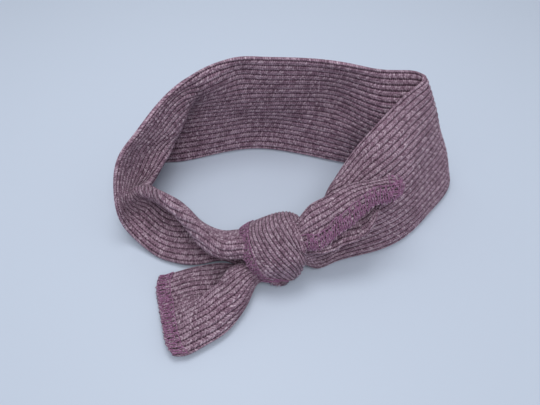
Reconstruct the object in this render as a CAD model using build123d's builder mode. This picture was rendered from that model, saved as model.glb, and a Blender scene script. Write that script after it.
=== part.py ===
from build123d import *
import os

# Knotted headband: a rib-knit head loop lying on a table, drawn together at the front by a tied
# strip of the same knit whose two tails stick out of the knot.
# Millimetres, +X right, +Y towards the back of the loop, +Z up. The table is z = 0, and the origin
# is on it, under the middle of the whole object.

# ---- driving dimensions -------------------------------------------------------------------------
BAND_THICKNESS = 3.2                    # two layers of rib knit pressed flat
SEAM_X0, SEAM_X1 = -13.0, -8.0          # where the loop is joined, inside the knot
SEAM_HALF_Y, SEAM_HALF_Z = 7.5, 6.5
LOOP_MIDDLE = (-10.5, 25.0, 0.0)        # the band goes all the way round this point

KNOT_Y, KNOT_Z = -21.5, 13.5            # axis of the knot, which runs along X
KNOT_X0, KNOT_X1 = -25.0, 5.0           # left and right mouth of the knot
KNOT_HALF_Y, KNOT_HALF_Z = 16.0, 14.2   # outside, at its fattest
KNOT_MOUTH = 0.88                       # outside at the mouths, as a part of the fattest section
TUNNEL_HALF_Y, TUNNEL_HALF_Z = 12.4, 11.0
TUCK_THICKNESS = 2.0
TUCK_X0, TUCK_X1 = -19.0, -3.0
WRAP_SPLIT_Z = 7.0                      # above it the strip is the wrap, below it the back turn
ROPE_RADIUS = 2.4                       # the rolled thread edge of the wrap

LEFT_TAIL_BOTTOM, LEFT_TAIL_TOP = 0.3, 6.0
LEFT_OVERLOCK_TOP = 4.8
RIGHT_TOP_LAYER = 2.6                   # thicknesses of the right tail's two layers
RIGHT_UNDER_LAYER = 1.5
LAYER_GAP = 0.1

# ---- the head loop ------------------------------------------------------------------------------
# Sections of the band's middle surface, in order round the loop. Each goes from the edge that is
# up at the back of the loop to the edge that lies on the table there.
LOOP_SECTIONS = [
    # in the knot, left of the seam, where the band is crumpled into an S
    [(-13, -27, 8), (-13, -23, 7), (-13, -22, 10), (-13, -26, 13), (-13, -28, 17), (-13, -24, 20), (-13, -17, 17)],
    [(-20, -28, 7), (-20, -23, 6), (-20, -22, 9), (-20, -27, 13), (-20, -29, 17), (-20, -25, 21), (-20, -17, 17)],
    # front left: the first edge lies on the table, the other rolls over towards the loop's inside
    [(-28, -26, 4), (-27, -19, 4.5), (-27, -17, 9), (-27.5, -23, 13), (-27, -29.5, 17), (-27, -25, 22.5), (-27, -13, 16)],
    [(-37, -22, 3), (-36, -15, 5), (-35.5, -12, 9.5), (-35.5, -20, 13), (-35, -29, 16), (-36, -26.5, 22.5), (-36, -12, 14)],
    [(-50, -24, 2.5), (-48.5, -14, 5), (-47, -7, 9.5), (-46.5, -15, 14), (-45.5, -25, 19), (-46.5, -19.5, 25), (-50, -4, 12)],
    [(-64, -22, 2), (-62, -9, 5), (-60.5, 4, 10), (-60, -2, 15.5), (-59, -8, 22), (-59.5, -2.5, 24), (-62, 6, 16)],
    [(-76, -16, 2.5), (-73, -3, 6), (-71.5, 9, 12), (-71, 6, 18), (-70.5, 1.5, 23.5), (-71, 4, 26.5), (-75, 13, 17)],
    [(-88, -7, 8), (-84, 4, 9), (-80, 10, 13), (-77, 8, 19), (-75, 4, 24), (-74, 6, 27), (-80, 17, 15)],
    # left end, where the band stands up again
    [(-92, -3, 20), (-90, 3, 20), (-87, 6, 21.5), (-85, 9, 23), (-82, 10, 24), (-81, 14, 20), (-84, 19, 10)],
    [(-93, 3, 28), (-91, 8, 27), (-88, 13, 22), (-84, 17, 18), (-80, 17, 18.5), (-85, 21, 10), (-91, 21, 2.5)],
    # left side: the upper edge leans outwards and the middle bulges inwards
    [(-93, 10, 34), (-89.5, 17, 31), (-86, 22, 25), (-80, 25, 21.5), (-74.5, 29, 21.5), (-82, 32, 12), (-91, 30, 2)],
    [(-90, 17, 41), (-85, 26, 37), (-80, 32, 31), (-74, 36, 27.5), (-70.5, 38, 24.5), (-79, 42, 14), (-89, 39, 1.5)],
    [(-83, 26, 47), (-78, 34, 42), (-72, 41, 37), (-66.5, 47.5, 31), (-70, 52, 23), (-80, 53, 13), (-86, 47, 1)],
    [(-74, 40, 53), (-69, 48, 48.5), (-64, 53, 43.5), (-61, 57, 38), (-66, 61.5, 29), (-75, 62, 17), (-80, 54, 1)],
    [(-63, 56, 57), (-59, 60, 52), (-55.5, 61, 48.5), (-57, 66, 40), (-63, 70, 28), (-69, 67, 14), (-70, 55, 1.5)],
    # back of the loop: the band stands on edge, slightly S-shaped
    [(-49, 67, 61), (-46.5, 64, 54), (-47.5, 66, 45), (-51, 69, 34), (-54, 70, 23), (-55, 67, 12), (-55, 60, 1)],
    [(-32, 72, 64), (-33, 72, 53), (-34, 70, 43), (-35, 71, 32), (-36, 73, 22), (-37, 71, 12), (-37, 66, 1)],
    [(-17, 71, 65), (-18, 71, 54), (-18, 71, 43), (-18, 72, 32), (-18, 75, 22), (-18, 74, 12), (-18, 68, 1)],
    [(3, 70, 65), (4, 70, 54), (4, 70, 43), (5, 71, 32), (5, 71, 22), (6, 69, 12), (6, 63, 1)],
    [(28, 65, 65), (29, 66, 54), (29, 67, 43), (30, 65, 32), (31, 61, 22), (33, 58, 12), (33, 55, 1)],
    [(49, 60, 64), (50, 55, 53), (51, 50, 43), (52, 47, 32), (53, 47, 22), (54, 49, 12), (55, 50, 1)],
    [(66, 60, 63), (69, 55, 53), (72, 50, 43), (75, 46, 32), (78, 44, 22), (81, 43, 12), (84, 42, 1)],
    # right corner, a sharp upright fold
    [(70, 57, 61), (75, 55, 51), (79, 51, 41), (82, 48, 32), (87, 46, 21), (90, 43, 11), (93, 40, 1)],
    [(64, 50, 60), (71, 47, 51), (76, 44, 41), (80, 41, 31), (85, 38, 20), (88, 34, 10), (90, 30, 1)],
    # right side: the upper edge leans inwards, over the loop
    [(53, 40, 57), (59, 34, 50), (64, 28, 42), (68, 24, 32), (72, 21, 21), (75, 17, 11), (77, 14, 1)],
    [(38, 25, 50), (43, 16, 46), (47, 10, 39), (52, 6, 30), (56, 3, 20), (59, 0, 10), (60, -4, 1)],
    [(27, 15, 41), (30, 7, 37), (33, 0, 32), (36, -5, 25), (39, -7, 17), (41, -10, 9), (41, -15, 1.5)],
    [(17, 4, 24), (18, 1, 30), (20, -5, 28), (22, -9, 22.5), (23, -12, 15), (23, -16, 7), (22, -21, 1.5)],
    [(13, -2, 8), (13, -3, 14), (13, -7, 19), (13, -13, 19), (13, -18, 14), (12, -22, 8), (11, -26, 2)],
    # in the knot, right of the seam, where the band is rolled into a C
    [(2, -17, 9), (2, -14, 13), (2, -16, 17.5), (2, -21, 19), (2, -26, 16), (2, -27, 11), (2, -24, 6)],
    [(-8, -18, 10), (-8, -16, 15), (-8, -19, 19), (-8, -24, 19), (-8, -27, 15), (-8, -27, 10), (-8, -23, 7)],
]


def neighbours(items, i):
    """The items before and after number i, or item i itself at either end."""
    return items[max(i - 1, 0)], items[min(i + 1, len(items) - 1)]


def skin_points(sections, distance):
    """The sections' points moved by a distance along the normal of the surface through them."""
    skins = []
    for i, section in enumerate(sections):
        before, after = neighbours(sections, i)
        skin = []
        for j, point in enumerate(section):
            low, high = neighbours(section, j)
            along = Vector(*after[j]) - Vector(*before[j])
            across = Vector(*high) - Vector(*low)
            normal = along.cross(across).normalized()
            if i in (0, len(sections) - 1):
                normal = Vector(0, normal.Y, normal.Z).normalized()
            skin.append(Vector(*point) + normal * distance)
        skins.append(skin)
    return skins


def closed_section(inner, outer):
    """One closed outline: the inner skin's line, across the edge, and back along the outer skin."""
    with BuildLine() as outline:
        Spline(*inner)
        Line(inner[-1], outer[-1])
        Spline(*reversed(outer))
        Line(outer[0], inner[0])
    return outline.wires()[0]


inner_skin = skin_points(LOOP_SECTIONS, -BAND_THICKNESS / 2)
outer_skin = skin_points(LOOP_SECTIONS, BAND_THICKNESS / 2)
loop_outlines = [closed_section(a, b) for a, b in zip(inner_skin, outer_skin)]

with BuildPart() as band_tube:
    add(Solid.make_loft(loop_outlines))

# The band is one tube of knit. It is kept as spans that meet face to face, each simple enough for
# its collision pieces to follow its folds. A span lies between two bearings about LOOP_MIDDLE.
BAND_SPANS = {
    "band_right_side": (-90, 24),
    "band_back": (24, 143),
    "band_left_side": (143, 198),
    "band_front_left": (198, 270),
}


def bearing_plane(bearing):
    """The upright plane through LOOP_MIDDLE along a bearing, in degrees from +X, facing larger ones."""
    return Plane(origin=LOOP_MIDDLE, z_dir=Vector(1, 0, 0).rotate(Axis.Z, bearing + 90))


band_spans = []
for label, (start, end) in BAND_SPANS.items():
    with BuildPart() as band_span:
        add(band_tube.part)
        split(bisect_by=bearing_plane(start), keep=Keep.TOP)
        split(bisect_by=bearing_plane(end), keep=Keep.BOTTOM)
    band_span.part.label = label
    band_spans.append(band_span)


def knot_plane(x):
    """A section plane across the knot's axis, its own x along +Y and its own y along +Z."""
    return Plane(origin=(x, KNOT_Y, KNOT_Z), x_dir=(0, 1, 0), z_dir=(1, 0, 0))


# ---- the joining seam, hidden in the knot -------------------------------------------------------
with BuildPart() as band_end_seam:
    with BuildSketch(knot_plane(SEAM_X0)):
        Ellipse(SEAM_HALF_Y, SEAM_HALF_Z)
    extrude(amount=SEAM_X1 - SEAM_X0)
band_end_seam.part.label = "band_end_seam"

# ---- the knot -----------------------------------------------------------------------------------
KNOT_MIDDLE_X = (KNOT_X0 + KNOT_X1) / 2
EDGE_ROUTE = [                          # the rolled thread edge, down the left mouth and under the front
    (-24, -14, 26), (-24.5, -22, 28), (-23.5, -30, 25.5), (-22, -35, 18),
    (-20, -36.5, 11), (-16.5, -37, 5.5), (-10, -38, 4), (-3, -36.5, 5.5),
]

with BuildPart() as wrap_edge_overlock:
    with BuildLine() as edge_route:
        Spline(*EDGE_ROUTE)
    with BuildSketch(Plane(origin=EDGE_ROUTE[0], z_dir=edge_route.line % 0)):
        Circle(ROPE_RADIUS)
    sweep()
wrap_edge_overlock.part.label = "wrap_edge_overlock"

with BuildPart() as knot_sleeve:
    for x, size in ((KNOT_X0, KNOT_MOUTH), (KNOT_MIDDLE_X, 1.0), (KNOT_X1, KNOT_MOUTH)):
        with BuildSketch(knot_plane(x)):
            Ellipse(KNOT_HALF_Y * size, KNOT_HALF_Z * size)
    loft()
    with BuildSketch(knot_plane(KNOT_X0)):
        Ellipse(TUNNEL_HALF_Y, TUNNEL_HALF_Z)
    extrude(amount=KNOT_X1 - KNOT_X0, mode=Mode.SUBTRACT)
    split(bisect_by=Plane.XY, keep=Keep.TOP)
    add(wrap_edge_overlock.part, mode=Mode.SUBTRACT)

with BuildPart() as tie_wrap:
    add(knot_sleeve.part)
    split(bisect_by=Plane.XY.offset(WRAP_SPLIT_Z), keep=Keep.TOP)
tie_wrap.part.label = "tie_wrap"

with BuildPart() as tie_back_turn:
    add(knot_sleeve.part)
    split(bisect_by=Plane.XY.offset(WRAP_SPLIT_Z), keep=Keep.BOTTOM)
tie_back_turn.part.label = "tie_back_turn"

with BuildPart() as tie_tuck:
    with BuildSketch(knot_plane(TUCK_X0)):
        Ellipse(TUNNEL_HALF_Y, TUNNEL_HALF_Z)
        Ellipse(TUNNEL_HALF_Y - TUCK_THICKNESS, TUNNEL_HALF_Z - TUCK_THICKNESS, mode=Mode.SUBTRACT)
    extrude(amount=TUCK_X1 - TUCK_X0)
    split(bisect_by=Plane.XY.offset(WRAP_SPLIT_Z), keep=Keep.TOP)
tie_tuck.part.label = "tie_tuck"

# ---- the left tail, flat on the table -----------------------------------------------------------
LEFT_ROOT = [(-18.5, -39.5), (-29.5, -33.1)]
LEFT_UPPER_EDGE = [(-29.5, -33.1), (-35, -29.8), (-42, -28), (-53, -29), (-64, -32)]
LEFT_THREAD_LINE = [(-64, -32), (-61, -49), (-56, -61), (-52, -69), (-46, -71.5)]
LEFT_LOWER_EDGE = [(-46, -71.5), (-39.5, -66), (-32, -56), (-25, -46.5), (-18.5, -39.5)]
LEFT_END = [(-46, -71.5), (-52.5, -76.6), (-58, -71), (-62, -62), (-66.5, -51), (-70, -35), (-64, -32)]

with BuildPart() as left_tail:
    with BuildSketch(Plane.XY.offset(LEFT_TAIL_BOTTOM)):
        with BuildLine():
            Line(*LEFT_ROOT)
            Spline(*LEFT_UPPER_EDGE)
            Spline(*LEFT_THREAD_LINE)
            Spline(*LEFT_LOWER_EDGE)
        make_face()
    extrude(amount=LEFT_TAIL_TOP - LEFT_TAIL_BOTTOM)
left_tail.part.label = "left_tail"

with BuildPart() as left_tail_end_overlock:
    with BuildSketch(Plane.XY.offset(LEFT_TAIL_BOTTOM)):
        with BuildLine():
            Spline(*LEFT_THREAD_LINE)
            Spline(*LEFT_END)
        make_face()
    extrude(amount=LEFT_OVERLOCK_TOP - LEFT_TAIL_BOTTOM)
left_tail_end_overlock.part.label = "left_tail_end_overlock"

# ---- the right tail, lying on the band's leaning right side ---------------------------------------
# Its own x runs along the tail and its own y across it, towards the back. z = 0 is its top face.
RIGHT_TAIL_ROOT = Vector(4, -18.5, 26.3)
RIGHT_TAIL_ALONG = Vector(0.936, 0.273, 0.224)
RIGHT_TAIL_NORMAL = Vector(0.007, -0.649, 0.761)
RIGHT_TAIL = Plane(origin=RIGHT_TAIL_ROOT, x_dir=RIGHT_TAIL_ALONG, z_dir=RIGHT_TAIL_NORMAL)

ROOT_X = 0.6
ROOT_CORNER = (4, 5)
RIGHT_UPPER_EDGE = [ROOT_CORNER, (7, 7.5), (12, 9), (20, 10.8), (28, 10.8), (37, 10), (46, 8.5)]
RIGHT_THREAD_LINE = [(46, 1.5), (35, 2.7), (23.5, 0.7), (10, -2.7), (ROOT_X, -5.5)]
RIGHT_LOWER_EDGE = [(46, -2), (35, -2.5), (26, -5.9), (18, -8.6), (9, -10.4), (ROOT_X, -12)]
RIGHT_TIP = [(46, 8.5), (51, 7), (55, 4.5), (52, 0), (46, -2)]
UNDER_LAYER = [(4.5, 3), (12, 7), (24, 9), (44, 6), (45, -3.5), (36, -5), (33, -9), (25, -12),
               (14, -12.6), (4, -14), (ROOT_X, -13)]

with BuildPart() as right_tail_top_layer:
    with BuildSketch(RIGHT_TAIL.offset(-RIGHT_TOP_LAYER)):
        with BuildLine():
            Spline(*RIGHT_UPPER_EDGE)
            Line(RIGHT_UPPER_EDGE[-1], RIGHT_THREAD_LINE[0])
            Spline(*RIGHT_THREAD_LINE)
            Line(RIGHT_THREAD_LINE[-1], RIGHT_UPPER_EDGE[0])
        make_face()
    extrude(amount=RIGHT_TOP_LAYER)
right_tail_top_layer.part.label = "right_tail_top_layer"

with BuildPart() as right_tail_edge_overlock:
    with BuildSketch(RIGHT_TAIL.offset(-RIGHT_TOP_LAYER)):
        with BuildLine():
            Spline(*RIGHT_THREAD_LINE)
            Line(RIGHT_THREAD_LINE[-1], RIGHT_LOWER_EDGE[-1])
            Spline(*RIGHT_LOWER_EDGE)
            Line(RIGHT_LOWER_EDGE[0], RIGHT_THREAD_LINE[0])
        make_face()
    extrude(amount=RIGHT_TOP_LAYER)
right_tail_edge_overlock.part.label = "right_tail_edge_overlock"

with BuildPart() as right_tail_end_overlock:
    with BuildSketch(RIGHT_TAIL.offset(-RIGHT_TOP_LAYER)):
        with BuildLine():
            Spline(*RIGHT_TIP)
            Line(RIGHT_TIP[-1], RIGHT_TIP[0])
        make_face()
    extrude(amount=RIGHT_TOP_LAYER)
right_tail_end_overlock.part.label = "right_tail_end_overlock"

with BuildPart() as right_tail_under_layer:
    with BuildSketch(RIGHT_TAIL.offset(-RIGHT_TOP_LAYER - LAYER_GAP - RIGHT_UNDER_LAYER)):
        with BuildLine():
            Polyline(*UNDER_LAYER, close=True)
        make_face()
    extrude(amount=RIGHT_UNDER_LAYER)
right_tail_under_layer.part.label = "right_tail_under_layer"

# ---- files --------------------------------------------------------------------------------------
os.makedirs("parts", exist_ok=True)
for piece in (
    *band_spans, band_end_seam, tie_wrap, tie_back_turn, tie_tuck, wrap_edge_overlock,
    left_tail, left_tail_end_overlock,
    right_tail_top_layer, right_tail_under_layer, right_tail_edge_overlock, right_tail_end_overlock,
):
    export_step(piece.part, f"parts/{piece.part.label}.step")
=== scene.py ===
import math

import bpy
import numpy as np
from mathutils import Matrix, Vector


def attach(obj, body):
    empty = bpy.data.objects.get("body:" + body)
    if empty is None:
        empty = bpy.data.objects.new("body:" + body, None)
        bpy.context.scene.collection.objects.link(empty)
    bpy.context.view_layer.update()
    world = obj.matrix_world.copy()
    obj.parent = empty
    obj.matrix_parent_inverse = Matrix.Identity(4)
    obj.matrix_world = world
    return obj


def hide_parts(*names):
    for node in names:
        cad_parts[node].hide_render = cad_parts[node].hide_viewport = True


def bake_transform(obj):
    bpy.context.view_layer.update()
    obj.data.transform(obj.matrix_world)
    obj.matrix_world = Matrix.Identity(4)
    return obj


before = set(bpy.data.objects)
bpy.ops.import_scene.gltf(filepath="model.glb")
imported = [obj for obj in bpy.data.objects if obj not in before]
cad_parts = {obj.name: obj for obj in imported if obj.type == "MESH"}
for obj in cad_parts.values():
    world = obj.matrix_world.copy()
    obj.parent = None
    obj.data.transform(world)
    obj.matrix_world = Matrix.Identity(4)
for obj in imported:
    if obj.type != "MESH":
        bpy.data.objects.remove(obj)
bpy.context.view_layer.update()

# Knotted headband of heathered rib knit. Sections are in millimetres in the part's own frame and
# are turned into metres when a mesh is made.
MM = 0.001

# ---- sizes of the knit, in millimetres --------------------------------------------------------------
RIB_PITCH = 3.1             # across the band, relaxed
COURSE_PITCH = 1.3          # one row of stitches, along the band
RIB_DEPTH = 0.85            # from crest to groove
RIB_FLATNESS = 2.6          # power of a rib's profile: higher is a flatter crest and a narrower groove
RIB_WANDER = 0.10           # how far the ribs stray sideways, in ribs
EDGE_ROUND = 2.2            # how far in from a folded edge the tube is rounded
BAND_RIBS = 21              # on each face of the band
STRIP_RIBS = 18             # on each face of the tie strip
RIGHT_TAIL_RIBS = 8         # on each face of a layer of the right tail

# thickness of each pressed tube, as a whole or halved
BAND_THICKNESS = 3.2
WRAP_HALF = 1.5
WRAP_RIB_DEPTH = 1.0
BACK_TURN_THICKNESS = 2.6
LEFT_TAIL_THICKNESS = 3.0
LEFT_TAIL_EDGE_HALF = 1.45  # a little pressed by its thread
RIGHT_TOP_HALF = 1.2
RIGHT_UNDER_THICKNESS = 1.8
RUFFLE_HEIGHT = 0.6         # of the waves in the under layer's free edge
RUFFLE_LENGTH = 10.5

# spacing of a mesh's rows along its ribs, and samples for measuring and smoothing a surface
BAND_STEP = 1.6
STRIP_STEP = 0.6
LENGTH_SAMPLES = 200
ACROSS_SAMPLES = 120

# ---- sizes of the thread, in millimetres -------------------------------------------------------------
THREAD_RADIUS = 0.26
STITCH_PITCH = 2.9
STITCH_SAMPLES = 12         # points along one stitch
OVER_EDGE = 0.4             # how far a looper thread reaches past the knit's edge
EDGE_BEND = 1.5             # length of its curve round the edge
NEEDLE_INSET = 0.8          # of the needle's line from the edging's inner limit
WRAP_OVERLOCK = 7.0         # depths of the edgings
LEFT_TAIL_OVERLOCK = 7.5
RIGHT_EDGE_OVERLOCK = 9.0
RIGHT_TIP_OVERLOCK = 7.0

# ---- sections through the middle of each pressed tube ------------------------------------------------
# Head loop: sections of the band's middle surface, in order round the loop. Each goes from the
# edge that is up at the back of the loop to the edge that lies on the table there.
LOOP_SECTIONS = [
    # in the knot, left of the seam, where the band is crumpled into an S
    [(-13, -27, 8), (-13, -23, 7), (-13, -22, 10), (-13, -26, 13),
     (-13, -28, 17), (-13, -24, 20), (-13, -17, 17)],
    [(-20, -28, 7), (-20, -23, 6), (-20, -22, 9), (-20, -27, 13),
     (-20, -29, 17), (-20, -25, 21), (-20, -17, 17)],
    # front left: the first edge lies on the table, the other rolls over towards the loop's inside
    [(-28, -26, 4), (-27, -19, 4.5), (-27, -17, 9), (-27.5, -23, 13),
     (-27, -29.5, 17), (-27, -25, 22.5), (-27, -13, 16)],
    [(-37, -22, 3), (-36, -15, 5), (-35.5, -12, 9.5), (-35.5, -20, 13),
     (-35, -29, 16), (-36, -26.5, 22.5), (-36, -12, 14)],
    [(-50, -24, 2.5), (-48.5, -14, 5), (-47, -7, 9.5), (-46.5, -15, 14),
     (-45.5, -25, 19), (-46.5, -19.5, 25), (-50, -4, 12)],
    [(-64, -22, 2), (-62, -9, 5), (-60.5, 4, 10), (-60, -2, 15.5),
     (-59, -8, 22), (-59.5, -2.5, 24), (-62, 6, 16)],
    [(-76, -16, 2.5), (-73, -3, 6), (-71.5, 9, 12), (-71, 6, 18),
     (-70.5, 1.5, 23.5), (-71, 4, 26.5), (-75, 13, 17)],
    [(-88, -7, 8), (-84, 4, 9), (-80, 10, 13), (-77, 8, 19),
     (-75, 4, 24), (-74, 6, 27), (-80, 17, 15)],
    # left end, where the band stands up again
    [(-92, -3, 20), (-90, 3, 20), (-87, 6, 21.5), (-85, 9, 23),
     (-82, 10, 24), (-81, 14, 20), (-84, 19, 10)],
    [(-93, 3, 28), (-91, 8, 27), (-88, 13, 22), (-84, 17, 18),
     (-80, 17, 18.5), (-85, 21, 10), (-91, 21, 2.5)],
    # left side: the upper edge leans outwards and the middle bulges inwards
    [(-93, 10, 34), (-89.5, 17, 31), (-86, 22, 25), (-80, 25, 21.5),
     (-74.5, 29, 21.5), (-82, 32, 12), (-91, 30, 2)],
    [(-90, 17, 41), (-85, 26, 37), (-80, 32, 31), (-74, 36, 27.5),
     (-70.5, 38, 24.5), (-79, 42, 14), (-89, 39, 1.5)],
    [(-83, 26, 47), (-78, 34, 42), (-72, 41, 37), (-66.5, 47.5, 31),
     (-70, 52, 23), (-80, 53, 13), (-86, 47, 1)],
    [(-74, 40, 53), (-69, 48, 48.5), (-64, 53, 43.5), (-61, 57, 38),
     (-66, 61.5, 29), (-75, 62, 17), (-80, 54, 1)],
    [(-63, 56, 57), (-59, 60, 52), (-55.5, 61, 48.5), (-57, 66, 40),
     (-63, 70, 28), (-69, 67, 14), (-70, 55, 1.5)],
    # back of the loop: the band stands on edge, slightly S-shaped
    [(-49, 67, 61), (-46.5, 64, 54), (-47.5, 66, 45), (-51, 69, 34),
     (-54, 70, 23), (-55, 67, 12), (-55, 60, 1)],
    [(-32, 72, 64), (-33, 72, 53), (-34, 70, 43), (-35, 71, 32),
     (-36, 73, 22), (-37, 71, 12), (-37, 66, 1)],
    [(-17, 71, 65), (-18, 71, 54), (-18, 71, 43), (-18, 72, 32),
     (-18, 75, 22), (-18, 74, 12), (-18, 68, 1)],
    [(3, 70, 65), (4, 70, 54), (4, 70, 43), (5, 71, 32), (5, 71, 22), (6, 69, 12), (6, 63, 1)],
    [(28, 65, 65), (29, 66, 54), (29, 67, 43), (30, 65, 32),
     (31, 61, 22), (33, 58, 12), (33, 55, 1)],
    [(49, 60, 64), (50, 55, 53), (51, 50, 43), (52, 47, 32),
     (53, 47, 22), (54, 49, 12), (55, 50, 1)],
    [(66, 60, 63), (69, 55, 53), (72, 50, 43), (75, 46, 32),
     (78, 44, 22), (81, 43, 12), (84, 42, 1)],
    # right corner, a sharp upright fold
    [(70, 57, 61), (75, 55, 51), (79, 51, 41), (82, 48, 32),
     (87, 46, 21), (90, 43, 11), (93, 40, 1)],
    [(64, 50, 60), (71, 47, 51), (76, 44, 41), (80, 41, 31),
     (85, 38, 20), (88, 34, 10), (90, 30, 1)],
    # right side: the upper edge leans inwards, over the loop
    [(53, 40, 57), (59, 34, 50), (64, 28, 42), (68, 24, 32),
     (72, 21, 21), (75, 17, 11), (77, 14, 1)],
    [(38, 25, 50), (43, 16, 46), (47, 10, 39), (52, 6, 30),
     (56, 3, 20), (59, 0, 10), (60, -4, 1)],
    [(27, 15, 41), (30, 7, 37), (33, 0, 32), (36, -5, 25),
     (39, -7, 17), (41, -10, 9), (41, -15, 1.5)],
    [(17, 4, 24), (18, 1, 30), (20, -5, 28), (22, -9, 22.5),
     (23, -12, 15), (23, -16, 7), (22, -21, 1.5)],
    [(13, -2, 8), (13, -3, 14), (13, -7, 19), (13, -13, 19),
     (13, -18, 14), (12, -22, 8), (11, -26, 2)],
    # in the knot, right of the seam, where the band is rolled into a C
    [(2, -17, 9), (2, -14, 13), (2, -16, 17.5), (2, -21, 19),
     (2, -26, 16), (2, -27, 11), (2, -24, 6)],
    [(-8, -18, 10), (-8, -16, 15), (-8, -19, 19), (-8, -24, 19),
     (-8, -27, 15), (-8, -27, 10), (-8, -23, 7)],
]

# Wrap: from the back of the knot's top, over the front and down, each section from the strip's
# thread-edged side (left, then front) to its other side.
WRAP_SECTIONS = [
    [(-26, -11, 14), (-20, -8, 16.5), (-15, -7, 17.5), (-11, -6, 18),
     (-7, -5.5, 18), (-3, -6, 17), (0, -7, 16)],
    [(-27.5, -16, 19), (-23, -16, 23), (-18, -14.5, 25), (-13, -12, 25.5),
     (-8, -9.5, 25), (-3.5, -8, 23.5), (0.5, -8.5, 21)],
    [(-27, -23, 20.5), (-22.5, -24, 24.5), (-18, -22.5, 26.5), (-13, -19.5, 27.5),
     (-8, -15.5, 27), (-3, -11.5, 25), (2.5, -10.5, 21.5)],
    [(-25, -30.5, 17), (-20, -30.5, 22), (-15, -29, 25), (-10, -26.5, 26.5),
     (-5, -22.5, 27), (-0.5, -19.5, 25.5), (3.5, -19.5, 23.5)],
    [(-22, -34, 12.5), (-17, -34.5, 19), (-11.5, -33.5, 22.5), (-6.5, -30.5, 24.5),
     (-2, -27.5, 25), (2, -26, 23.5), (2.5, -18.5, 17.5)],
    [(-17.5, -34.5, 6), (-12.5, -37, 14.5), (-7.5, -36, 18.5), (-2.5, -33.5, 20.5),
     (1.5, -30.5, 21), (3.5, -29.5, 20.5), (1.5, -21, 15.5)],
    [(-12.5, -36.5, 5), (-8, -34.5, 6), (-3.5, -36, 13), (0.5, -34.5, 16),
     (3, -32.5, 17), (3, -25.5, 15), (0, -23, 13.5)],
    [(-7.5, -38, 4.5), (-4.5, -36.5, 5), (-1, -34.5, 6.5), (1.5, -33.5, 10),
     (3.5, -28.5, 13), (2, -26, 12.5), (-1, -24, 12)],
]

# Back turn: from the wrap's lower end, under the band and up the back of the knot.
BACK_TURN_SECTIONS = [
    [(-4.5, -35, 4), (-3.5, -35, 6), (-2, -34.5, 8), (-1, -33, 9.5),
     (0.5, -31, 10.5), (2.5, -29, 10.5), (3.5, -26, 10.5)],
    [(-7, -31, 2), (-5, -30, 2), (-2.5, -29, 2.4), (0, -27, 3.2),
     (2, -25.5, 4.4), (3.5, -24, 6), (4.5, -22, 7.5)],
    [(-12, -22, 2), (-9, -21, 2), (-5.5, -20, 2), (-2, -19, 2),
     (1, -17.5, 2.6), (3, -16.5, 3.6), (4.5, -15, 5)],
    [(-20, -13, 4), (-16, -12, 3.2), (-12, -11, 3), (-8, -10, 3),
     (-4, -9.5, 3.4), (0, -9, 4.4), (3, -9, 6)],
    [(-25, -11, 10), (-21, -8.5, 9.5), (-16.5, -7, 9.5), (-12, -6, 9.5),
     (-7.5, -5.5, 9.5), (-3, -5.5, 10), (1, -6.5, 10.5)],
    [(-24, -12, 15), (-19.5, -9, 15.5), (-15.5, -8, 16.5), (-11, -7, 17),
     (-7, -6.5, 17), (-3, -7, 16.5), (0, -8, 15.5)],
]

# Left tail: from the knot to its thread-edged end, each section from its upper to its lower edge.
LEFT_TAIL_SECTIONS = [
    [(-17, -26, 5), (-16, -27, 4), (-15, -28, 5), (-14, -29, 8),
     (-13, -30.5, 9), (-12, -32, 7), (-11.5, -33.5, 4)],
    [(-32.5, -24.5, 4), (-33, -26, 3.5), (-33, -29.5, 4.5), (-30.5, -31.5, 10),
     (-26, -35.5, 12), (-22, -37.5, 9.5), (-20, -37, 3.5)],
    [(-39, -23.5, 3), (-39, -30.5, 2.5), (-37.5, -40, 2.5), (-36.5, -40, 9.5),
     (-32, -46.5, 11.5), (-27.5, -49.5, 8.5), (-24, -46.5, 2.5)],
    [(-46.5, -24.5, 2.5), (-45.5, -33.5, 2.5), (-44, -44, 2.2), (-43, -45.5, 8),
     (-38, -54.5, 9.5), (-35, -58.5, 7.5), (-32, -61, 2.5)],
    [(-54, -26.5, 2.5), (-53.5, -34.5, 3), (-52.5, -43, 2), (-50, -50.5, 5.5),
     (-46.5, -59, 8), (-43.5, -64, 6.5), (-41, -68.5, 2.5)],
    [(-62, -29.5, 2.5), (-62, -36.5, 3), (-61.5, -44.5, 2), (-59, -52, 4),
     (-56, -60.5, 5.5), (-53, -67.5, 5), (-50, -74, 2.5)],
    [(-68.5, -31.5, 2.5), (-69, -37.5, 3), (-68, -43.5, 2), (-65.5, -51.5, 3),
     (-62.5, -61, 4.5), (-60, -69, 4), (-56, -74.5, 2.5)],
]

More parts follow.
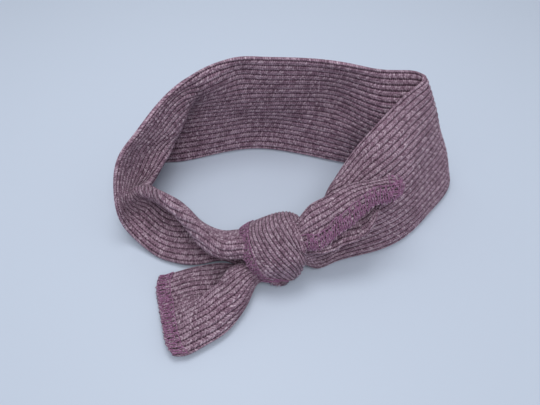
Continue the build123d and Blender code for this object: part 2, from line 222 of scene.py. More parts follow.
# Right tail's upper and lower layers: from the knot to the tip, each section from the edge that is
# towards the back to the other one.
RIGHT_TOP_SECTIONS = [
    [(-4, -16, 20), (-3.5, -18, 20.5), (-3, -20, 20), (-2.5, -22, 18.5),
     (-2, -24, 17), (-1.5, -26, 15), (-1, -27.5, 13)],
    [(2, -13.5, 28), (3, -17.5, 28.5), (3.5, -20.5, 28), (4.5, -22.5, 26),
     (5, -24.5, 24), (5, -26, 21.5), (5, -26.5, 18.5)],
    [(6.5, -9.5, 31.5), (7.5, -14, 31.5), (8.5, -18, 30), (9, -21, 27.5),
     (9.5, -23.5, 25), (10, -25.5, 22), (10.5, -27.5, 19)],
    [(14, -6.5, 34.5), (15, -10.5, 34), (16, -14, 33), (17, -17, 31.5),
     (18, -19.5, 29), (18.5, -21.5, 26.5), (19, -23.5, 24)],
    [(22, -3.5, 37.5), (22.5, -7, 37), (23.5, -10.5, 36), (24, -13.5, 34.5),
     (25, -15.5, 32.5), (26, -17.5, 30.5), (26.5, -19, 28)],
    [(30, -1.5, 40), (30.5, -5, 39), (31, -8, 38.5), (31.5, -10, 37),
     (32, -11.5, 35.5), (32.5, -13, 33.5), (33, -14.5, 31.5)],
    [(38, -1, 41), (38, -4, 40.5), (38.5, -6, 39.5), (39, -7.5, 38),
     (39.5, -9, 36), (39.5, -10, 34.5), (39.5, -10.5, 33.5)],
    [(45, 0, 41.5), (45, -2.5, 41.5), (45, -4.5, 40.5), (45.5, -6, 39),
     (45.5, -7.5, 37.5), (45.5, -8.5, 36), (45.5, -9, 34)],
    [(50.5, -0.5, 41), (51.5, -2, 41), (52, -3.5, 40.5), (52, -4.5, 40),
     (51.5, -5, 38.5), (50.5, -6, 37), (49, -7, 36)],
]

RIGHT_UNDER_SECTIONS = [
    [(-3, -15, 17), (-2.5, -17.5, 17), (-2, -20, 16.5), (-1.5, -22.5, 15),
     (-1, -24.5, 13.5), (-0.5, -26, 12), (0, -27, 10.5)],
    [(4.5, -10.5, 28), (5, -14, 26), (5, -17, 24), (5.5, -20, 22.5),
     (6, -23, 20.5), (6.5, -26, 18.5), (7, -28.5, 17)],
    [(11.5, -8, 30.5), (12, -12, 28), (13, -15.5, 25.5), (14, -19, 23),
     (14, -22.5, 21), (14, -25.5, 19.5), (13.5, -29, 18)],
    [(18.5, -5.5, 33.5), (20, -9, 31), (20.5, -13, 28.5), (21.5, -16.5, 26),
     (22, -20, 23.5), (21.5, -23.5, 22), (20.5, -27.5, 20.5)],
    [(25.5, -3.5, 35), (27, -7, 32.5), (28, -10.5, 30), (29, -14, 27.5),
     (29.5, -16.5, 24.5), (29.5, -21, 23.5), (27.5, -25.5, 23)],
    [(32, -2, 36.5), (33, -5, 35), (34, -8, 32.5), (35, -10.5, 30),
     (35.5, -13, 27), (35, -18, 26.5), (33.5, -23, 25.5)],
    [(36.5, -1.5, 37), (37, -4, 35.5), (38, -6.5, 33.5), (38.5, -8.5, 32),
     (38.5, -11, 30), (38.5, -14.5, 29.5), (38, -18.5, 28)],
    [(40.5, -1, 38), (40.5, -3, 36.5), (40.5, -5, 35.5), (40.5, -6.5, 34),
     (40.5, -8, 33), (40, -11, 32), (39, -14, 31.5)],
]


# ---- smooth surfaces through sections -------------------------------------------------------------
def spline(points, count, even=True):
    """A C2 cubic spline through points, (m, ...), sampled at count places along its first axis."""
    points = np.asarray(points, float)
    m = len(points)
    steps = np.sqrt(((points[1:] - points[:-1]) ** 2).sum(-1))
    steps = steps.reshape(m - 1, -1).mean(1)
    knots = np.concatenate([[0], np.cumsum(np.sqrt(steps))])
    h = np.diff(knots)
    matrix = np.zeros((m, m))
    right = np.zeros_like(points)
    for i in range(1, m - 1):
        matrix[i, i - 1] = h[i - 1]
        matrix[i, i] = 2 * (h[i - 1] + h[i])
        matrix[i, i + 1] = h[i]
        right[i] = 6 * ((points[i + 1] - points[i]) / h[i] - (points[i] - points[i - 1]) / h[i - 1])
    matrix[0, 0] = matrix[-1, -1] = 1
    second = np.linalg.solve(matrix, right.reshape(m, -1)).reshape(points.shape)
    if even:
        length = np.concatenate([[0], np.cumsum(steps)])
        t = np.interp(np.linspace(0, length[-1], count), length, knots)
    else:
        t = np.linspace(0, knots[-1], count)
    i = np.clip(np.searchsorted(knots, t, side="right") - 1, 0, m - 2)
    shape = (-1,) + (1,) * (points.ndim - 1)
    hi = h[i].reshape(shape)
    a = ((knots[i + 1] - t)).reshape(shape) / hi
    b = 1 - a
    return (a * points[i] + b * points[i + 1]
            + ((a ** 3 - a) * second[i] + (b ** 3 - b) * second[i + 1]) * hi ** 2 / 6)


def even_rows(grid, places):
    """Each row of a grid resampled at the given places, from 0 to 1 of its length."""
    out = np.zeros((len(grid), len(places), 3))
    for i, row in enumerate(grid):
        length = running_length(row)
        for axis in range(3):
            out[i, :, axis] = np.interp(places * length[-1], length, row[:, axis])
    return out


def rows_at(grid, places):
    """Each row of a grid resampled at the given places, from 0 to 1 of its columns."""
    column = places * (grid.shape[1] - 1)
    first = np.minimum(column.astype(int), grid.shape[1] - 2)
    part = (column - first)[None, :, None]
    return grid[:, first] * (1 - part) + grid[:, first + 1] * part


def unit(vectors):
    """Vectors scaled to length 1."""
    return vectors / np.maximum(np.linalg.norm(vectors, axis=-1, keepdims=True), 1e-9)


def normals_of(grid):
    """Unit normals of a grid of points, from its two directions."""
    return unit(np.cross(np.gradient(grid, axis=0), np.gradient(grid, axis=1)))


def running_length(path):
    """Length along a line of points, up to each of them."""
    return np.concatenate([[0], np.cumsum(np.linalg.norm(np.diff(path, axis=0), axis=1))])


def wave(count, scale, seed):
    """A smooth random line of count values, mean 0 and about 1 high, with bumps scale samples long."""
    rng = np.random.default_rng(seed)
    knots = rng.normal(0, 1, max(int(count / scale) + 3, 4))
    return spline(knots[:, None], count, even=False)[:, 0]


# ---- knitted tubes, pressed flat ------------------------------------------------------------------
RIB_PLACES = np.array([0.0, 0.07, 0.18, 0.34, 0.5, 0.66, 0.82, 0.93])   # samples across one rib


def rib_places(ribs):
    """Places across a face, from 0 to 1, with a rib's crest on each folded edge, and their phases."""
    phase = (np.arange(ribs + 1)[:, None] + RIB_PLACES[None, :]).ravel()
    phase = phase[(phase > 0.5) & (phase < ribs + 0.5)]
    phase = np.concatenate([[0.5], phase, [ribs + 0.5]])
    edge = np.array([0.12, 0.3])                     # extra samples where the tube turns over
    phase = np.unique(np.concatenate([phase, 0.5 + edge, ribs + 0.5 - edge]).round(6))
    return (phase - 0.5) / ribs, phase


def rib_height(phase):
    """1 on a rib's crest and 0 in the groove."""
    return 1 - np.abs(2 * (phase % 1) - 1) ** RIB_FLATNESS


def tube_faces(count, sides, columns):
    """Quads round a tube of count rows with sides points each, and the quads that close its two ends."""
    i, j = np.meshgrid(np.arange(count - 1), np.arange(sides), indexing="ij")
    k = (j + 1) % sides
    quads = np.stack([i * sides + j, (i + 1) * sides + j, (i + 1) * sides + k, i * sides + k], -1)
    faces = [tuple(q) for q in quads.reshape(-1, 4).tolist()]
    for first, flip in ((0, False), ((count - 1) * sides, True)):
        for at in range(columns - 1):
            far = at + 1
            loop = [first + at, first + far, first + (sides - far) % sides, first + (sides - at) % sides]
            loop = [v for n, v in enumerate(loop) if v not in loop[:n]]
            faces.append(tuple(loop if not flip else loop[::-1]))
    return faces


def knit_tube(name, sections, ribs, thickness, depth=RIB_DEPTH, step=STRIP_STEP, seed=1, ruffle=0.0,
              even=True):
    """A pressed tube of rib knit through sections of its middle surface: a closed mesh, with UVs that
    count courses along it and ribs across it. Also gives the grid of its middle surface."""
    sections = np.array(sections, float)
    fine = spline(sections, LENGTH_SAMPLES)
    length = np.linalg.norm(np.diff(fine, axis=0), axis=-1).sum(0).mean()
    count = int(length / step) + 1
    rows = spline(sections, count)
    rows = spline(rows.transpose(1, 0, 2), ACROSS_SAMPLES).transpose(1, 0, 2)
    places, phase = rib_places(ribs)
    grid = even_rows(rows, places) if even else rows_at(rows, places)
    if ruffle:
        along = np.linspace(0, length, count)[:, None]
        sway = 1.2 * wave(count, 12, seed + 50)[:, None]
        swing = np.sin(2 * math.pi * along / RUFFLE_LENGTH + sway)
        grid = grid + normals_of(grid) * (ruffle * swing * places[None, :] ** 3)[..., None]
    normal = normals_of(grid)

    width = np.linalg.norm(np.diff(grid, axis=1), axis=-1).sum(1)
    from_edge = np.minimum(places, 1 - places)[None, :] * width[:, None]
    turn = np.clip(1 - from_edge / EDGE_ROUND, 0, 1)
    body = np.sqrt(1 - turn ** 2)
    stray = RIB_WANDER * wave(count, 14, seed)[:, None] * np.sin(math.pi * places)[None, :]
    wandering = phase[None, :] + stray
    squeeze = np.clip(width / (ribs * RIB_PITCH), 0.55, 1.0)[:, None]
    half = (thickness / 2 - depth / 2) * body
    lift = depth / 2 * (2 * rib_height(wandering) - 1) * np.sqrt(squeeze) * body ** 0.5
    front = grid + normal * (half + lift)[..., None]
    back = grid - normal * (half + lift)[..., None]
    ring = np.concatenate([front, back[:, -2:0:-1]], axis=1)
    sides = ring.shape[1]

    mesh = bpy.data.meshes.new(name)
    mesh.from_pydata((ring.reshape(-1, 3) * MM).tolist(), [], tube_faces(count, sides, len(places)))
    run = np.linalg.norm(np.diff(grid, axis=0), axis=-1).mean(1)
    courses = np.concatenate([[0], np.cumsum(run)]) / COURSE_PITCH
    uv_u = np.repeat(courses[:, None], sides, 1).ravel()
    uv_v = np.concatenate([wandering, 2 * ribs + 1 - wandering[:, -2:0:-1]], axis=1).ravel()
    set_uv(mesh, uv_u, uv_v, 2 * ribs)
    return smooth_object(name, mesh), grid


def smooth_object(name, mesh):
    """A smooth-shaded mesh as an object in the scene."""
    mesh.polygons.foreach_set("use_smooth", [True] * len(mesh.polygons))
    obj = bpy.data.objects.new(name, mesh)
    bpy.context.scene.collection.objects.link(obj)
    return obj


def set_uv(mesh, u, v, v_period):
    """Writes the stitch coordinates, and unwraps the last rib so that v doesn't run back to its start."""
    layer = mesh.uv_layers.new(name="knit")
    loops = np.zeros(len(mesh.loops), np.int32)
    mesh.loops.foreach_get("vertex_index", loops)
    uv = np.stack([u[loops], v[loops]], -1)
    start = np.zeros(len(mesh.polygons), np.int32)
    total = np.zeros(len(mesh.polygons), np.int32)
    mesh.polygons.foreach_get("loop_start", start)
    mesh.polygons.foreach_get("loop_total", total)
    face_of = np.repeat(np.arange(len(start)), total)
    low = np.full(len(start), 1e9)
    high = np.full(len(start), -1e9)
    np.minimum.at(low, face_of, uv[:, 1])
    np.maximum.at(high, face_of, uv[:, 1])
    wraps = (high - low)[face_of] > v_period / 2
    uv[wraps & (uv[:, 1] < v_period / 2), 1] += v_period
    layer.data.foreach_set("uv", uv.ravel())


# ---- thread ---------------------------------------------------------------------------------------
def tube_mesh(name, paths, radius, sides=6):
    """Round threads along paths, each a closed tube, in one mesh. Its UVs run along and round a thread."""
    verts, faces, uv_u, uv_v = [], [], [], []
    base = 0
    for path in paths:
        path = np.asarray(path, float)
        count = len(path)
        tangent = unit(np.gradient(path, axis=0))
        side = np.cross(tangent[0], (0.3, 0.5, 0.8))
        frames = []
        for t in tangent:
            side = side - t * (side @ t)
            side = side / np.linalg.norm(side)
            frames.append(side)
        side = np.array(frames)
        up = np.cross(tangent, side)
        angle = np.arange(sides) * 2 * math.pi / sides
        ring = (side[:, None] * np.cos(angle)[:, None] + up[:, None] * np.sin(angle)[:, None]) * radius
        verts.append((path[:, None] + ring).reshape(-1, 3))
        uv_u.append(np.repeat(running_length(path), sides))
        uv_v.append(np.tile(np.arange(sides) / sides, count))
        i, j = np.meshgrid(np.arange(count - 1), np.arange(sides), indexing="ij")
        k = (j + 1) % sides
        quads = np.stack([i * sides + j, i * sides + k, (i + 1) * sides + k, (i + 1) * sides + j], -1)
        faces += (quads.reshape(-1, 4) + base).tolist()
        faces.append([base + n for n in range(sides)][::-1])
        faces.append([base + (count - 1) * sides + n for n in range(sides)])
        base += count * sides
    mesh = bpy.data.meshes.new(name)
    mesh.from_pydata((np.concatenate(verts) * MM).tolist(), [], faces)
    set_uv(mesh, np.concatenate(uv_u), np.concatenate(uv_v), 1)
    return smooth_object(name, mesh)


def hem(grid, side, width, facing, first=0.0, last=1.0, columns=14):
    """The outer part of a surface's grid, width wide, next to one of its sides: points and normals,
    as rows along the side with columns going in from it. The normals look the way facing does."""
    normal = normals_of(grid)
    if side == "end":
        grid, normal = grid[::-1].transpose(1, 0, 2), normal[::-1].transpose(1, 0, 2)
    elif side == "last":
        grid, normal = grid[:, ::-1], normal[:, ::-1]
    rows = slice(int(first * len(grid)), int(last * len(grid)))
    points, normals = [], []
    for row, up in zip(grid[rows], normal[rows]):
        length = running_length(row)
        at = np.linspace(0, width, columns)
        points.append(np.stack([np.interp(at, length, row[:, k]) for k in range(3)], -1))
        normals.append(np.stack([np.interp(at, length, up[:, k]) for k in range(3)], -1))
    normals = unit(np.array(normals))
    flip = np.sign((normals * np.asarray(facing, float)).sum(-1).mean())
    return np.array(points), normals * flip


# A looper's start along its stitch, its reach inwards, its lift in thread radii, and its face of the knit
LOOPERS = ((0.0, 1.0, 0.9, 1), (0.5, 0.8, 1.5, 1), (0.25, 0.9, 0.9, -1))


def overlock(name, points, normals, width, half, seed, waviness=0.55):
    """Overlock on a hem: loopers that zigzag over its two faces and meet round the edge, and a line
    of needle thread. half is half the knit's thickness. Also gives the yarn that shows at the edge."""
    rng = np.random.default_rng(seed)
    edge_length = running_length(points[:, 0])
    count = max(int(edge_length[-1] / STITCH_PITCH), 4)
    samples = count * STITCH_SAMPLES + 1
    row_at = np.interp(np.linspace(0, edge_length[-1], samples), edge_length, np.arange(len(points)))
    turn = np.linspace(0, count, samples)
    jitter = spline(rng.normal(0, waviness, (count + 3, 3)), samples, even=False)

    def lay(inward, height):
        """Points at distances inward from the edge and heights above the middle surface."""
        column = np.clip(inward / width, 0, 1) * (points.shape[1] - 1)
        r0 = np.clip(row_at.astype(int), 0, len(points) - 2)
        c0 = np.clip(column.astype(int), 0, points.shape[1] - 2)
        r, c = (row_at - r0)[:, None], (column - c0)[:, None]

        def mix(field):
            top = field[r0, c0] * (1 - c) + field[r0, c0 + 1] * c
            low = field[r0 + 1, c0] * (1 - c) + field[r0 + 1, c0 + 1] * c
            return top * (1 - r) + low * r

        outward = unit(points[r0, 0] - points[r0, 2])
        beyond = np.maximum(-inward, 0)[:, None]
        return mix(points) + unit(mix(normals)) * height[:, None] + outward * beyond

    def round_edge(inward):
        """1 on the knit's faces, falling to 0 where a thread passes the middle of the edge."""
        return np.sqrt(np.clip(1 - np.clip(1 - (inward + OVER_EDGE) / EDGE_BEND, 0, 1) ** 2, 0, 1))

    paths = []
    for phase, reach, lift, sign in LOOPERS:
        swing = np.abs(2 * ((turn + phase + 0.3 * jitter[:, 0]) % 1) - 1)
        inward = swing * (width - THREAD_RADIUS) * reach * (1 + 0.25 * jitter[:, 1]) - OVER_EDGE
        paths.append(lay(inward, sign * (half + THREAD_RADIUS * lift) * round_edge(inward)))
    curl = 2 * math.pi * turn
    needle_height = half + THREAD_RADIUS * (0.8 + 0.6 * np.cos(curl))
    paths.append(lay(width - NEEDLE_INSET + 0.5 * jitter[:, 2], needle_height))
    edge_yarn = lay(0.35 - 0.75 * np.cos(curl) + 0.5 * jitter[:, 1], (half + 0.2) * np.sin(curl))
    yarn_radius = THREAD_RADIUS * 1.1
    return tube_mesh(name, paths, THREAD_RADIUS), tube_mesh(name + "_yarn", [edge_yarn], yarn_radius)


# ---- materials ------------------------------------------------------------------------------------
# sockets of a Mix node that are for colours
MIX_FACTOR, MIX_A, MIX_B, MIX_RESULT = 0, 6, 7, 2

# noises: scale per millimetre (for the thread, in its UVs), detail and roughness
STITCH_SWAY = (0.5, 3.0, 0.6)
HEATHER = (1.5, 2.0, 0.7)
PATCHES = (0.10, 2.0)
FIBRES = (3.5, 2.0, 0.6)
THREAD_MOTTLE = (1.4, 2.0, 0.7)

# places of a material's four shades on its ramp
KNIT_STOPS = (0.12, 0.38, 0.60, 0.88)
THREAD_STOPS = (0.34, 0.44, 0.54, 0.66)

PAINTED_GAP_SHADE = (0.35, 0.26, 0.32)          # painted shade between stitches
PAINTED_GROOVE_SHADE = (0.26, 0.17, 0.23)       # painted shade in the grooves between ribs
PAINTED_PLY_SHADE = (0.55, 0.5, 0.53)        # painted shade between a thread's plies
PLAIN = (1, 1, 1)

STITCH_SLANT = 0.6                       # of a stitch's legs, in courses from crest to groove
SWAY_SIZE = 2.4                          # courses
LEG_SHARE = 0.40                         # of the shade that is random from leg to leg
HEATHER_SHARE = 1.15                     # of the shade that varies along the yarn
SHADE_OFFSET = 0.28
# how strongly the painted shade between stitches darkens the colour
GAP_SHADE_STRENGTH = 0.85
GROOVE_SHADE_START, GROOVE_SHADE_FULL = 0.58, 0.92   # where the painted groove shade begins and where it is full, on the way from a rib's crest, 0, to its groove, 1
SHADE_DOT_SWING, SHADE_DOT_MEAN = 0.36, 0.62         # strength of the painted shade in the grooves, which is darkest in dots
BUMP_DEPTH = 0.0006                      # metres
FIBRE_HEIGHT = 0.35                      # beside a stitch's 1
PLY_TWIST = 1.6                          # turns of the thread's plies in a millimetre


class Nodes:
    """Short forms for building a node tree."""

    def __init__(self, material):
        material.use_nodes = True
        self.tree = material.node_tree
        self.shader = self.tree.nodes["Principled BSDF"]

    def node(self, kind, **settings):
        made = self.tree.nodes.new(kind)
        for key, value in settings.items():
            setattr(made, key, value)
        return made

    def link(self, a, b):
        self.tree.links.new(a, b)

    def math(self, operation, a, b=None):
        made = self.node("ShaderNodeMath", operation=operation)
        for i, value in enumerate((a, b)):
            if value is None:
                continue
            if isinstance(value, (int, float)):
                made.inputs[i].default_value = value
            else:
                self.link(value, made.inputs[i])
        return made.outputs[0]

    def noise(self, vector, scale, detail=2.0, rough=0.5):
        made = self.node("ShaderNodeTexNoise")
        made.inputs["Scale"].default_value = scale
        made.inputs["Detail"].default_value = detail
        made.inputs["Roughness"].default_value = rough
        self.link(vector, made.inputs["Vector"])
        return made.outputs["Fac"]

    def ramp(self, value, stops, smooth=False):
        made = self.node("ShaderNodeValToRGB")
        if smooth:
            made.color_ramp.interpolation = "EASE"
        band = made.color_ramp.elements
        while len(band) < len(stops):
            band.new(0.5)
        for element, (place, colour) in zip(band, stops):
            element.position = place
            element.color = (*colour, 1)
        self.link(value, made.inputs[0])
        return made.outputs[0]

    def darken(self, factor, colour, by):
        """colour multiplied by another colour, as far as factor says."""
        made = self.node("ShaderNodeMix", data_type="RGBA", blend_type="MULTIPLY")
        for i, value in ((MIX_FACTOR, factor), (MIX_A, colour), (MIX_B, by)):
            if isinstance(value, (int, float)):
                made.inputs[i].default_value = value
            else:
                self.link(value, made.inputs[i])
        return made.outputs[MIX_RESULT]


def knit_material(name, shades, groove_shade_strength=1.0):
    """Heathered rib knit. UV x counts courses and UV y counts ribs, with a groove at each whole one."""
    material = bpy.data.materials.new(name)
    n = Nodes(material)
    uv = n.node("ShaderNodeUVMap", uv_map="knit").outputs[0]
    split = n.node("ShaderNodeSeparateXYZ")
    n.link(uv, split.inputs[0])
    course, rib = split.outputs[0], split.outputs[1]
    millimetres = n.node("ShaderNodeVectorMath", operation="MULTIPLY")
    millimetres.inputs[1].default_value = (COURSE_PITCH, RIB_PITCH, 1)
    n.link(uv, millimetres.inputs[0])
    mm = millimetres.outputs[0]

    # a stitch is a V on a rib: arm is 0 on the rib's crest and 1 in its groove
    in_rib = n.math("FRACT", rib)
    arm = n.math("MULTIPLY", n.math("ABSOLUTE", n.math("SUBTRACT", in_rib, 0.5)), 2.0)
    sway = n.math("MULTIPLY", n.math("SUBTRACT", n.noise(mm, *STITCH_SWAY), 0.5), SWAY_SIZE)
    climb = n.math("SUBTRACT", course, n.math("MULTIPLY", arm, STITCH_SLANT))
    climb = n.math("ADD", climb, sway)
    leg = n.math("SINE", n.math("MULTIPLY", n.math("FRACT", climb), math.pi))
    notch = n.math("MINIMUM", n.math("MULTIPLY", arm, 3.5), 1.0)
    notch = n.math("ADD", n.math("MULTIPLY", notch, 0.7), 0.3)
    shoulder = n.math("SUBTRACT", 1.0, n.math("POWER", arm, 5.0))
    stitch = n.math("MULTIPLY", n.math("MULTIPLY", leg, notch), shoulder)

    # the yarn's own colour: a random part for each leg of a stitch, and heather along the yarn
    cell = n.node("ShaderNodeCombineXYZ")
    n.link(n.math("FLOOR", climb), cell.inputs[0])
    n.link(n.math("FLOOR", n.math("MULTIPLY", rib, 2.0)), cell.inputs[1])
    random = n.node("ShaderNodeTexWhiteNoise", noise_dimensions="2D")
    n.link(cell.outputs[0], random.inputs["Vector"])
    heather = n.math("MULTIPLY", n.noise(mm, *HEATHER), HEATHER_SHARE)
    shade = n.math("ADD", n.math("MULTIPLY", random.outputs[0], LEG_SHARE), heather)
    shade = n.math("SUBTRACT", shade, SHADE_OFFSET)
    base = n.ramp(shade, list(zip(KNIT_STOPS, shades)))
    tone = n.ramp(n.noise(mm, *PATCHES), [(0.3, (0.9, 0.9, 0.9)), (0.7, (1.1, 1.1, 1.1))])
    colour = n.darken(1.0, base, tone)

    # painted shade: darker between stitches, and darkest in dots along the grooves
    gap_shade = n.ramp(stitch, [(0.0, PAINTED_GAP_SHADE), (0.5, PLAIN)])
    colour = n.darken(GAP_SHADE_STRENGTH, colour, gap_shade)
    # the groove mask carries painted shade, not a colour of the yarn
    groove = n.ramp(arm, [(GROOVE_SHADE_START, PLAIN), (GROOVE_SHADE_FULL, PAINTED_GROOVE_SHADE)], smooth=True)
    shade_dots = n.math("COSINE", n.math("MULTIPLY", climb, 2 * math.pi))
    shade_dots = n.math("ADD", n.math("MULTIPLY", shade_dots, SHADE_DOT_SWING), SHADE_DOT_MEAN)
    shade_dots = n.math("MULTIPLY", shade_dots, groove_shade_strength)
    n.link(n.darken(shade_dots, colour, groove), n.shader.inputs["Base Color"])

    bump = n.node("ShaderNodeBump")
    bump.inputs["Strength"].default_value = 0.8
    bump.inputs["Distance"].default_value = BUMP_DEPTH
    fibre = n.math("MULTIPLY", n.noise(mm, *FIBRES), FIBRE_HEIGHT)
    n.link(n.math("ADD", stitch, fibre), bump.inputs["Height"])
    n.link(bump.outputs[0], n.shader.inputs["Normal"])
    n.shader.inputs["Roughness"].default_value = 0.92
    n.shader.inputs["Specular IOR Level"].default_value = 0.2
    n.shader.inputs["Sheen Weight"].default_value = 0.12
    n.shader.inputs["Sheen Roughness"].default_value = 0.5
    n.shader.inputs["Sheen Tint"].default_value = (0.85, 0.75, 0.82, 1)
    return material


def thread_material(name, shades):
    """Twisted thread: UV x is millimetres along it and UV y goes round it."""
    material = bpy.data.materials.new(name)
    n = Nodes(material)
    uv = n.node("ShaderNodeUVMap", uv_map="knit").outputs[0]
    split = n.node("ShaderNodeSeparateXYZ")
    n.link(uv, split.inputs[0])
    along, around = split.outputs[0], split.outputs[1]
    ply = n.math("FRACT", n.math("ADD", n.math("MULTIPLY", along, PLY_TWIST), around))
    twist = n.math("SINE", n.math("MULTIPLY", ply, math.pi))
    colour = n.ramp(n.noise(uv, *THREAD_MOTTLE), list(zip(THREAD_STOPS, shades)))
    # painted shade in the creases between the thread's plies
    ply_shade = n.ramp(twist, [(0.0, PAINTED_PLY_SHADE), (0.5, PLAIN)])
    n.link(n.darken(0.6, colour, ply_shade), n.shader.inputs["Base Color"])
    n.shader.inputs["Roughness"].default_value = 0.8
    n.shader.inputs["Specular IOR Level"].default_value = 0.25
    n.shader.inputs["Sheen Weight"].default_value = 0.1
    return material


# from a yarn's darkest fibres to its lightest
KNIT_SHADES = [(0.12, 0.055, 0.088), (0.285, 0.17, 0.23), (0.455, 0.31, 0.385), (0.71, 0.57, 0.64)]
THREAD_SHADES = [(0.13, 0.04, 0.10), (0.23, 0.085, 0.175), (0.33, 0.15, 0.265), (0.52, 0.36, 0.47)]

knit = knit_material("rib_knit", KNIT_SHADES)
# the knot's pulled knit gets slightly less painted groove shade
knot_knit = knit_material("rib_knit_pulled", KNIT_SHADES, groove_shade_strength=0.95)
thread = thread_material("overlock_thread", THREAD_SHADES)
yarn = thread_material("edge_yarn", KNIT_SHADES)


# ---- pieces -----------------------------------------------------------------------------------------
# A tail bends at the knot: its knit follows the band before the first point, in metres, and the
# tail's end after the second.
BENDS = {
    "left_tail_bend": ("left_tail_end", (-0.021, -0.031, 0.006), (-0.028, -0.0432, 0.006)),
    "right_tail_bend": ("right_tail_end", (0.0008, -0.0194, 0.0255), (0.0120, -0.0161, 0.0282)),
}


def finish_piece(obj, material, slot, body, *nodes):
    """Gives a piece its material, hangs it on the empty of the body that it rides or, for a piece over a
    bend, only bakes its place into its mesh, and hides the CAD nodes that it stands for. slot is not used."""
    obj.data.materials.append(material)
    if body in BENDS:
        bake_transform(obj)
    else:
        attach(obj, body)
    if nodes:
        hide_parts(*nodes)


band, _ = knit_tube("band", LOOP_SECTIONS, BAND_RIBS, BAND_THICKNESS, step=BAND_STEP, seed=3)
finish_piece(band, knit, "rib_knit", "band", "band_front_left", "band_left_side", "band_back",
             "band_right_side", "band_end_seam", "tie_tuck")

wrap, wrap_grid = knit_tube("wrap", WRAP_SECTIONS, STRIP_RIBS, 2 * WRAP_HALF, depth=WRAP_RIB_DEPTH,
                            seed=5, even=False)
finish_piece(wrap, knot_knit, "rib_knit", "band", "tie_wrap")
back_turn, _ = knit_tube("back_turn", BACK_TURN_SECTIONS, STRIP_RIBS, BACK_TURN_THICKNESS, seed=6)
finish_piece(back_turn, knot_knit, "rib_knit", "band", "tie_back_turn")
left_tail, left_grid = knit_tube("left_tail_cloth", LEFT_TAIL_SECTIONS, STRIP_RIBS,
                                 LEFT_TAIL_THICKNESS, seed=7)
finish_piece(left_tail, knit, "rib_knit", "left_tail_bend", "left_tail")
right_top, top_grid = knit_tube("right_tail_top", RIGHT_TOP_SECTIONS, RIGHT_TAIL_RIBS,
                                2 * RIGHT_TOP_HALF, seed=8)
finish_piece(right_top, knit, "rib_knit", "right_tail_bend", "right_tail_top_layer")
right_under, _ = knit_tube("right_tail_under", RIGHT_UNDER_SECTIONS, RIGHT_TAIL_RIBS,
                           RIGHT_UNDER_THICKNESS, seed=9, ruffle=RUFFLE_HEIGHT)
finish_piece(right_under, knit, "rib_knit", "right_tail_bend", "right_tail_under_layer")

UP = (0, 0, 1)
OUT_OF_WRAP = (-0.4, -0.6, 0.6)
OUT_OF_RIGHT_TAIL = (0, -0.65, 0.76)


def sew(name, grid, side, width, facing, half, seed, body, node, first=0.0, last=1.0, **looks):
    """Overlocks one side of a piece, and gives back the thread and the edge yarn."""
    points, normals = hem(grid, side, width, facing, first, last)
    loops, edge_yarn = overlock(name, points, normals, width, half, seed, **looks)
    finish_piece(loops, thread, "overlock_thread", body, node)
    finish_piece(edge_yarn, yarn, "rib_knit", body)
    return loops, edge_yarn


wrap_edge = sew("wrap_edge", wrap_grid, "first", WRAP_OVERLOCK, OUT_OF_WRAP, WRAP_HALF, 11,
                "band", "wrap_edge_overlock", first=0.06, last=0.98)
left_edge = sew("left_tail_edge", left_grid, "end", LEFT_TAIL_OVERLOCK, UP, LEFT_TAIL_EDGE_HALF, 12,
                "left_tail_end", "left_tail_end_overlock", first=0.03, last=0.98, waviness=0.35)
right_edge = sew("right_tail_edge", top_grid, "last", RIGHT_EDGE_OVERLOCK, OUT_OF_RIGHT_TAIL,
                 RIGHT_TOP_HALF, 13, "right_tail_bend", "right_tail_edge_overlock", first=0.12)
right_tip = sew("right_tail_tip", top_grid, "end", RIGHT_TIP_OVERLOCK, OUT_OF_RIGHT_TAIL,
                RIGHT_TOP_HALF, 14, "right_tail_end", "right_tail_end_overlock", waviness=0.9)

# ---- stage ----------------------------------------------------------------------------------------
FLOOR_HALF = 3.0
FLOOR_COLOUR = (0.57, 0.632, 0.735, 1)
SKY_COLOUR = (0.90, 0.94, 1.0, 1)
SKY_STRENGTH = 0.5
LAMP_COLOUR = (0.95, 0.97, 1.0)
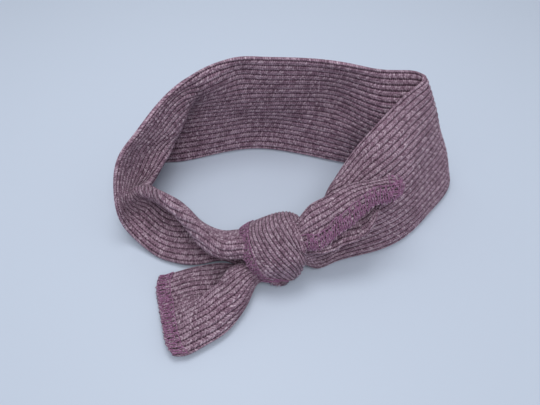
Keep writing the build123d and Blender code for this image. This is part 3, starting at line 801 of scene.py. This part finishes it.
# a lamp's name, width, power in watts, place, and the point that it faces
LAMPS = (("overhead", 0.3, 1.0, (-0.06, 0.12, 0.52), (-0.04, 0.1, 0)),
         ("front", 0.7, 6.8, (0.2, -0.8, 1.24), (0, 0.04, 0.03)))
CAMERA_PLACE = (-0.013, -0.1826, 0.2194)
CAMERA_TILT = 43                # degrees up from straight down
CAMERA_LENS = 34.6              # millimetres, on a sensor 36 wide


def stage():
    """A plain pale floor."""
    mesh = bpy.data.meshes.new("floor")
    s = FLOOR_HALF
    mesh.from_pydata([(-s, -s, 0), (s, -s, 0), (s, s, 0), (-s, s, 0)], [], [(0, 1, 2, 3)])
    floor = bpy.data.objects.new("floor", mesh)
    bpy.context.scene.collection.objects.link(floor)
    material = bpy.data.materials.new("floor")
    material.use_nodes = True
    shader = material.node_tree.nodes["Principled BSDF"]
    shader.inputs["Base Color"].default_value = FLOOR_COLOUR
    shader.inputs["Roughness"].default_value = 0.55
    mesh.materials.append(material)


def lights():
    """An even pale sky, and two soft lamps, one overhead and one in front."""
    world = bpy.data.worlds.new("world")
    bpy.context.scene.world = world
    world.use_nodes = True
    world.node_tree.nodes["Background"].inputs["Color"].default_value = SKY_COLOUR
    world.node_tree.nodes["Background"].inputs["Strength"].default_value = SKY_STRENGTH
    for name, size, energy, place, aim in LAMPS:
        lamp = bpy.data.lights.new(name, "AREA")
        lamp.shape = "DISK"
        lamp.size = size
        lamp.energy = energy
        lamp.color = LAMP_COLOUR
        obj = bpy.data.objects.new(name, lamp)
        bpy.context.scene.collection.objects.link(obj)
        obj.location = place
        obj.rotation_euler = (Vector(aim) - Vector(place)).to_track_quat("-Z", "Y").to_euler()


def camera():
    """The camera looks down at 47 degrees, square to the knot."""
    data = bpy.data.cameras.new("camera")
    data.sensor_width = 36
    data.lens = CAMERA_LENS
    data.clip_start = 0.01
    obj = bpy.data.objects.new("camera", data)
    bpy.context.scene.collection.objects.link(obj)
    obj.location = CAMERA_PLACE
    obj.rotation_euler = (math.radians(CAMERA_TILT), 0, 0)
    bpy.context.scene.camera = obj


stage()
lights()
camera()
bpy.context.scene.view_settings.view_transform = "Standard"
